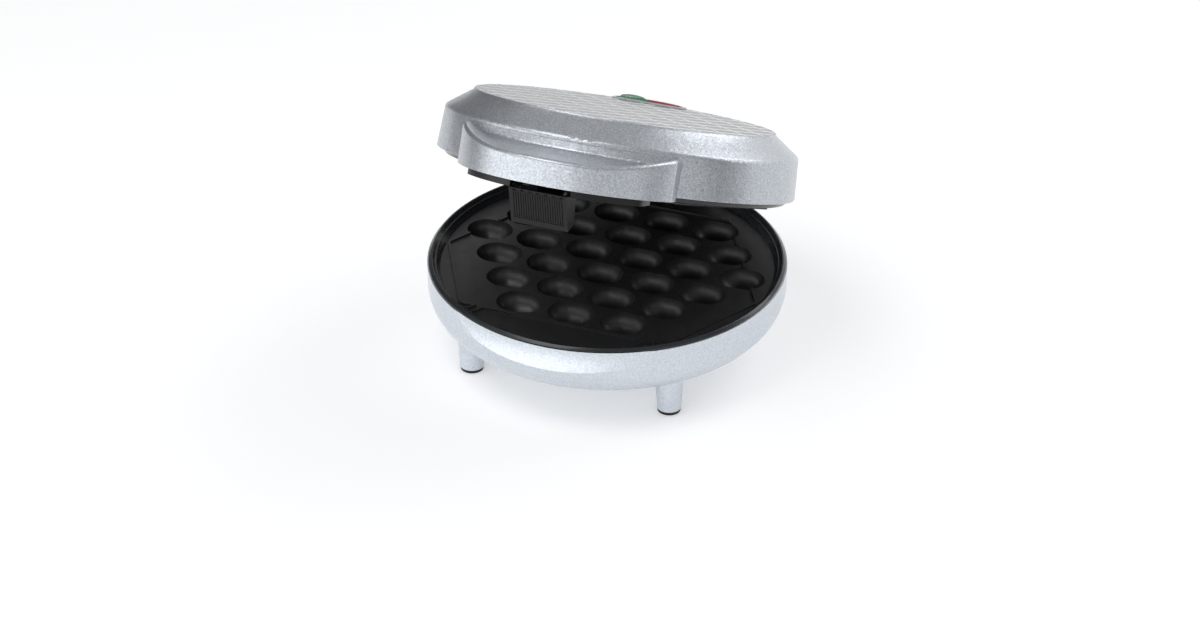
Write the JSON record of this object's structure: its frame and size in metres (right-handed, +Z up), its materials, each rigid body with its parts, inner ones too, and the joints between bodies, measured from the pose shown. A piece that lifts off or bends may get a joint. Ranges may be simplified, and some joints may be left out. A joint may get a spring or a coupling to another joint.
{
  "type": "electric egg waffle maker",
  "caption": "Round electric egg waffle maker: hinged silver lid with a lattice top and front handle over two non-stick plates of oval cups, a snap latch and rubber-tipped feet.",
  "frame": {"origin": "bottom centre of the box round the whole appliance with its lid open as pictured", "axes": "+Z up from the table, -Y to the front with the handle, +X to the right seen from the front"},
  "size_m": [0.22, 0.2442, 0.1831],
  "materials": {
    "silver_shell": "satin",
    "dark_ring": "gloss",
    "black_plastic": "satin",
    "nonstick": "satin",
    "element_steel": "satin",
    "sheet_steel": "satin",
    "screw_steel": "satin",
    "rubber": "matte",
    "thermostat_ceramic": "gloss",
    "fitting_plastic": "matte",
    "wire_sleeve": "matte",
    "bezel_grey": "gloss",
    "lens_green": "gloss",
    "lens_red": "gloss",
    "lamp_glass": "gloss"
  },
  "bodies": {
    "base": {"base_shell": "silver_shell", "base_ring": "dark_ring", "lower_cooking_plate": "nonstick", "lower_heating_element": "element_steel", "lower_heat_shield": "sheet_steel", "lower_plate_screws": "screw_steel", "thermostat": "thermostat_ceramic", "thermostat_bracket": "sheet_steel", "terminal_block": "fitting_plastic", "terminal_screws": "screw_steel", "earth_tag": "sheet_steel", "earth_screw": "screw_steel", "base_wiring": "wire_sleeve", "cord_gland": "black_plastic", "hinge_pin": "screw_steel", "foot_tip_back_right": "rubber", "foot_tip_back_left": "rubber", "foot_tip_front_left": "rubber", "foot_tip_front_right": "rubber"},
    "lid": {"lid_shell": "silver_shell", "lid_ring": "black_plastic", "upper_cooking_plate": "nonstick", "upper_heating_element": "element_steel", "upper_heat_shield": "sheet_steel", "upper_shield_screws": "screw_steel", "upper_plate_screws": "screw_steel", "thermal_fuse": "thermostat_ceramic", "lid_wiring": "wire_sleeve", "indicator_bezel": "bezel_grey", "green_lens": "lens_green", "red_lens": "lens_red", "lamp_holder": "fitting_plastic", "neon_lamps": "lamp_glass", "handle_underplate": "black_plastic", "underplate_screws": "screw_steel", "latch_pin": "screw_steel"},
    "latch": {"latch_clip": "black_plastic"}
  },
  "joints": [
    {"name": "lid_hinge", "type": "hinge", "parent": "base", "child": "lid", "pos_m": [0, 0.1125, 0.0533], "axis": [-1, 0, 0], "range_deg": [-24.93, 70]},
    {"name": "latch_pivot", "type": "hinge", "parent": "lid", "child": "latch", "pos_m": [0, -0.10954, 0.16445], "axis": [-1, 0, 0], "range_deg": [0, 12]}
  ]
}
